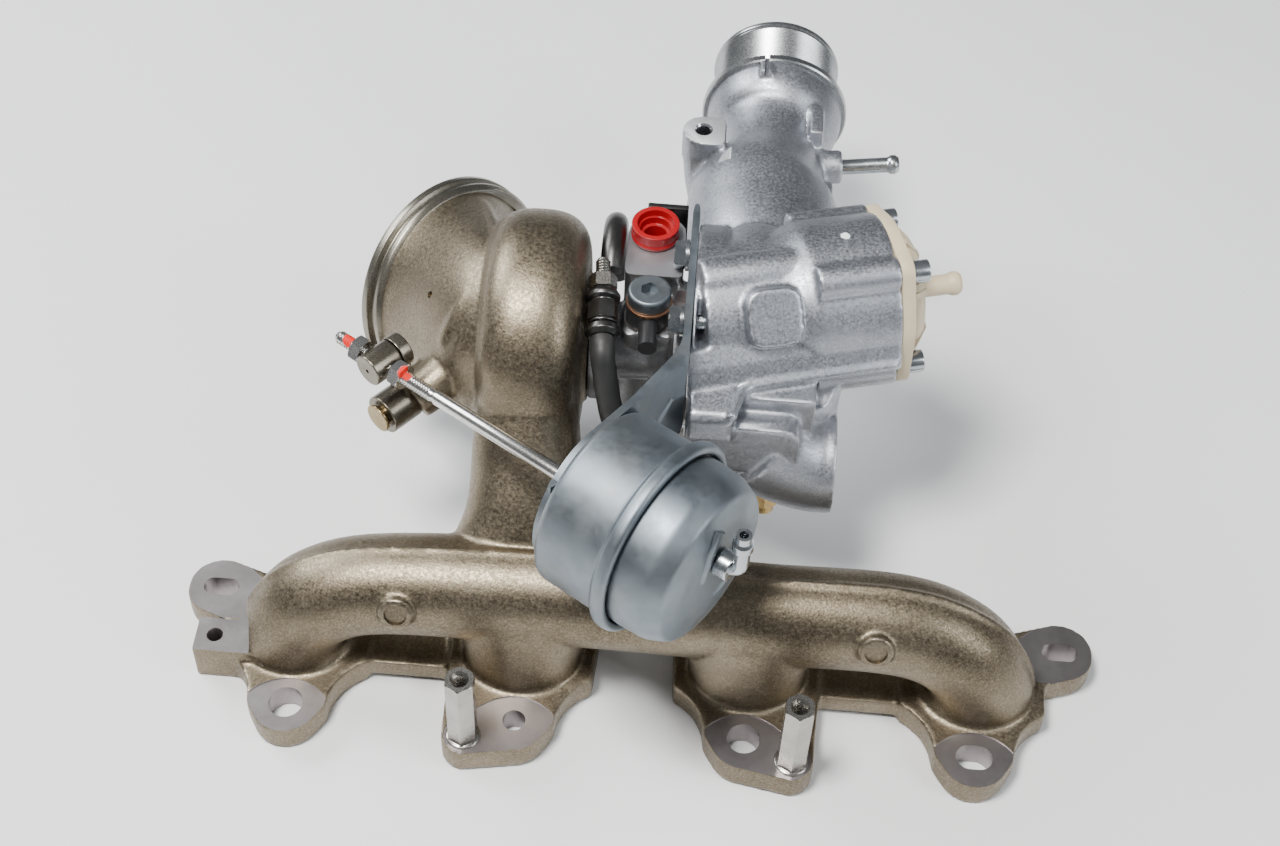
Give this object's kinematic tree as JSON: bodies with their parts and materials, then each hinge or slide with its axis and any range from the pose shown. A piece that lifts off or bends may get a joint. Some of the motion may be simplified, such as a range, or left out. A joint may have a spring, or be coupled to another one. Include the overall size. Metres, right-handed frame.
{
  "type": "turbocharger",
  "caption": "Turbocharger on a cast exhaust manifold with wastegate actuator, recirculation valve and ribbed inlet pipe, for a four-cylinder petrol engine.",
  "frame": {"origin": "middle of the whole object seen from above, on the plane of the head flange", "axes": "+X along the manifold from the turbine end to the compressor end, +Y from the lower bolt row to the inlet pipe, +Z away from the cylinder head"},
  "size_m": [0.382, 0.333, 0.1597],
  "materials": {
    "cast_steel": "cast, shot-blasted",
    "cast_iron_dark": "cast",
    "cast_aluminium": "satin",
    "zinc_plate": "zinc plated",
    "steel": "turned",
    "dark_steel": "dark",
    "bronze": "machined",
    "copper": "satin",
    "black_coating": "satin",
    "rubber": "matt",
    "cream_plastic": "moulded",
    "red_plastic": "moulded"
  },
  "bodies": {
    "housing": {"actuator_bracket": "zinc_plate", "actuator_front_shell": "zinc_plate", "actuator_nipple": "zinc_plate", "actuator_rear_shell": "zinc_plate", "actuator_spring": "steel", "back_plate": "cast_aluminium", "banjo_bolt": "zinc_plate", "banjo_fitting": "black_coating", "boost_nipple": "steel", "bracket_screw_1": "zinc_plate", "bracket_screw_2": "zinc_plate", "brass_fitting": "bronze", "centre_housing": "cast_iron_dark", "clip_plate": "dark_steel", "compressor_housing": "cast_aluminium", "coolant_hose": "rubber", "coolant_pipe": "dark_steel", "copper_washer": "copper", "cover_screw_1": "zinc_plate", "cover_screw_2": "zinc_plate", "cover_screw_3": "zinc_plate", "cover_screw_4": "zinc_plate", "diaphragm": "rubber", "diverter_cover": "cream_plastic", "diverter_spring": "steel", "exhaust_manifold": "cast_steel", "heat_shield": "steel", "housing_screw_1": "steel", "housing_screw_2": "steel", "housing_screw_3": "steel", "journal_bearing_compressor": "bronze", "journal_bearing_turbine": "bronze", "oil_inlet_plug": "red_plastic", "piston_ring": "dark_steel", "spacer_nut_left": "steel", "spacer_nut_right": "steel", "spindle_bushing": "dark_steel", "thrust_bearing": "bronze", "union_body": "dark_steel", "union_nut": "steel", "union_stud": "steel"},
    "rotor": {"turbine_wheel_shaft": "dark_steel", "compressor_wheel": "cast_aluminium", "compressor_nut": "steel", "thrust_collar": "steel"},
    "wastegate_arm": {"wastegate_lever": "steel", "wastegate_spindle": "steel", "wastegate_flap": "steel"},
    "push_rod": {"actuator_rod": "steel", "rod_nut_inner": "steel", "rod_nut_outer": "steel", "rod_pivot": "steel", "diaphragm_cup": "steel"},
    "valve_piston": {"diverter_piston": "dark_steel"}
  },
  "joints": [
    {"name": "rotor_spin", "type": "hinge", "parent": "housing", "child": "rotor", "pos_m": [-0.02, -0.01251, 0.1], "axis": [1, 0, 0], "continuous": true},
    {"name": "wastegate_swing", "type": "hinge", "parent": "housing", "child": "wastegate_arm", "pos_m": [-0.1095, -0.05621, 0.091], "axis": [-0.6402, -0.7682, 0], "range_deg": [0, 14]},
    {"name": "actuator_stroke", "type": "slide", "parent": "housing", "child": "push_rod", "axis": [-0.8387, 0.5446, 0], "range_m": [0, 0.00697], "stiffness_N_per_m": 4000, "springref_m": -0.015, "deforming": ["actuator_spring", "diaphragm"]},
    {"name": "valve_stroke", "type": "slide", "parent": "housing", "child": "valve_piston", "axis": [0.9623, 0.2721, 0], "range_m": [0, 0.008], "stiffness_N_per_m": 800, "springref_m": -0.008, "deforming": ["diverter_spring"]}
  ],
  "couplings": [
    {"joint": "wastegate_swing", "follows": "actuator_stroke", "rad_per_m": 35.057}
  ]
}
